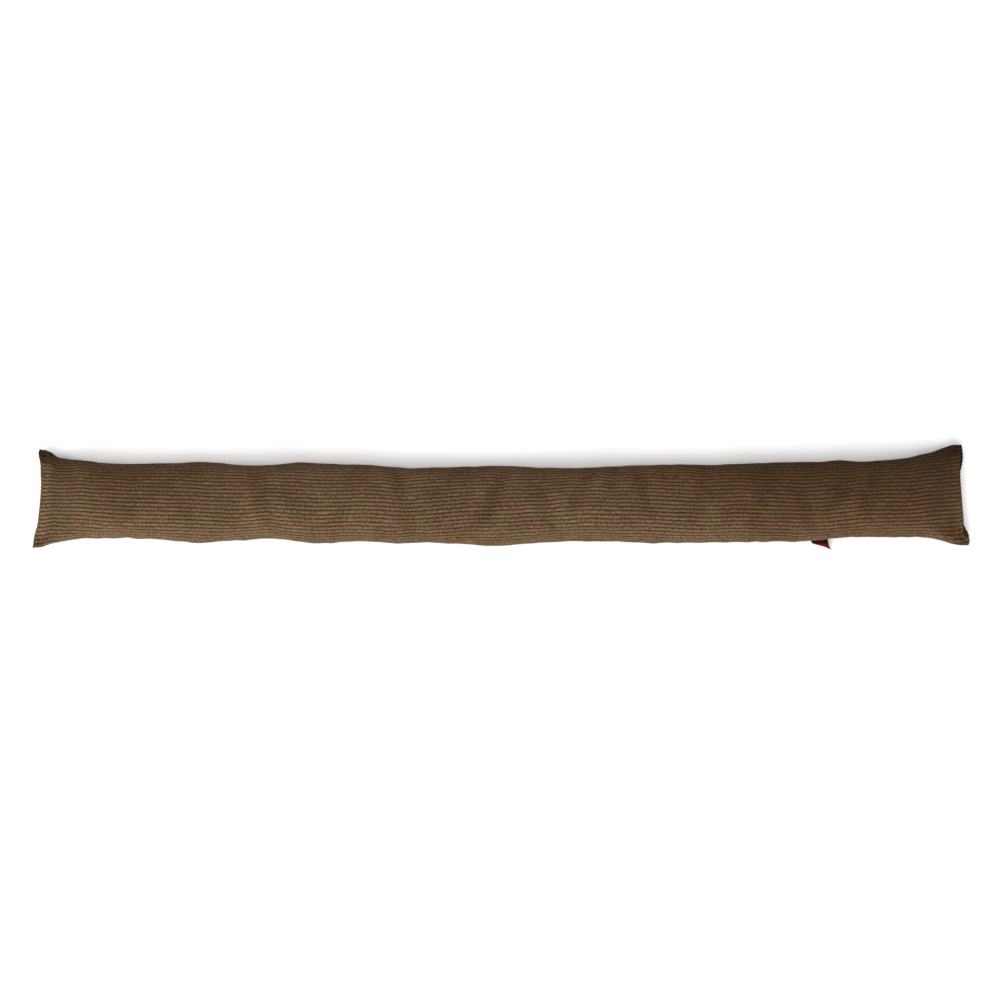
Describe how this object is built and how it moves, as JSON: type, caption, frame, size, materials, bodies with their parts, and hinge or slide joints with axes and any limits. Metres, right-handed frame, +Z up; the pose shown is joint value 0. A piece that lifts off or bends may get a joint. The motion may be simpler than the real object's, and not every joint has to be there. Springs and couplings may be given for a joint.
{
  "type": "draught excluder",
  "caption": "A long narrow corduroy bag, filled and soft, laid along the foot of a door to stop a draught, with a folded ribbon tab in its front seam.",
  "frame": {"origin": "on the floor under the middle of the whole thing", "axes": "+X along the bag to its right end, +Y from the front side with the long seam to the back side, +Z up from the floor"},
  "size_m": [0.8956, 0.1048, 0.0531],
  "materials": {
    "corduroy": "wide-wale cotton corduroy, brown, with a soft pile",
    "ribbon": "woven ribbon, red, slightly glossy"
  },
  "bodies": {
    "root": {"case": "corduroy", "tab": "ribbon"}
  },
  "joints": []
}
